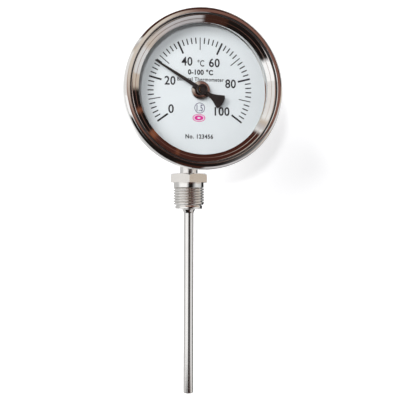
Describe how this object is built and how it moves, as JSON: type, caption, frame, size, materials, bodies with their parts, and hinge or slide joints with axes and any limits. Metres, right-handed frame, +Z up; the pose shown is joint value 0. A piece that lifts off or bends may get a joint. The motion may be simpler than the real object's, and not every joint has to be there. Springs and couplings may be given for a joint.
{
  "type": "dial thermometer",
  "caption": "Round bimetal dial thermometer with a polished steel case on a tilting rear joint, a loose threaded process nut and a long straight sensing stem.",
  "frame": {"origin": "on the stem's axis, on the underside of the nut's hexagon, which seats on the vessel's boss", "axes": "+Z up the stem towards the head; the dial faces -Y at rest; +X is to the right of someone reading the dial"},
  "size_m": [0.102, 0.0642, 0.2523],
  "materials": {
    "polished_steel": "mirror polished stainless steel",
    "satin_steel": "fine turned stainless steel",
    "stem_steel": "drawn and polished stainless tube",
    "spring_steel": "dull spring steel",
    "bimetal_strip": "rolled bimetal strip",
    "brass": "turned brass",
    "black_rubber": "moulded black rubber",
    "guide_polymer": "turned white polymer",
    "dial_white": "matt white painted plate with black print",
    "pointer_black": "semi-matt black paint",
    "window_glass": "clear flat glass"
  },
  "bodies": {
    "nut": {"process_nut": "satin_steel"},
    "stem": {"stem_tube": "stem_steel", "neck_tube": "stem_steel", "knuckle": "satin_steel", "pivot_screw_left": "satin_steel", "pivot_screw_right": "satin_steel", "pivot_washer_left": "spring_steel", "pivot_washer_right": "spring_steel", "flex_coupling": "spring_steel", "upper_guide": "guide_polymer", "lower_guide": "guide_polymer", "bimetal_coil": "bimetal_strip", "coil_anchor": "stem_steel"},
    "head": {"case_can": "polished_steel", "bezel_ring": "polished_steel", "window_gasket": "black_rubber", "window_glass": "window_glass", "dial_spacer_ring": "polished_steel", "dial_plate": "dial_white", "dial_bush": "polished_steel", "dial_lock_nut": "brass", "case_nut": "satin_steel", "case_washer": "spring_steel", "back_seal": "black_rubber", "tilt_fork": "satin_steel"},
    "rod": {"drive_rod": "stem_steel", "rod_ferrule": "brass", "coil_clamp": "brass"},
    "pointer": {"pointer_needle": "pointer_black", "pointer_hub": "pointer_black", "pointer_collar": "brass", "pointer_spindle": "brass", "spindle_ferrule": "brass"}
  },
  "joints": [
    {"name": "stem_turn", "type": "hinge", "parent": "nut", "child": "stem", "pos_m": [0, 0, 0], "axis": [0, 0, 1], "continuous": true},
    {"name": "head_tilt", "type": "hinge", "parent": "stem", "child": "head", "pos_m": [0, 0, 0.0583], "axis": [1, 0, 0], "range_deg": [-90, 0]},
    {"name": "rod_turn", "type": "hinge", "parent": "stem", "child": "rod", "pos_m": [0, 0, 0], "axis": [0, 0, -1], "range_deg": [-67, 185]},
    {"name": "pointer_turn", "type": "hinge", "parent": "head", "child": "pointer", "pos_m": [0, -0.04, 0.0583], "axis": [0, 1, 0], "range_deg": [-67, 185]}
  ],
  "couplings": [
    {"joint": "pointer_turn", "follows": "rod_turn", "ratio": 1}
  ]
}
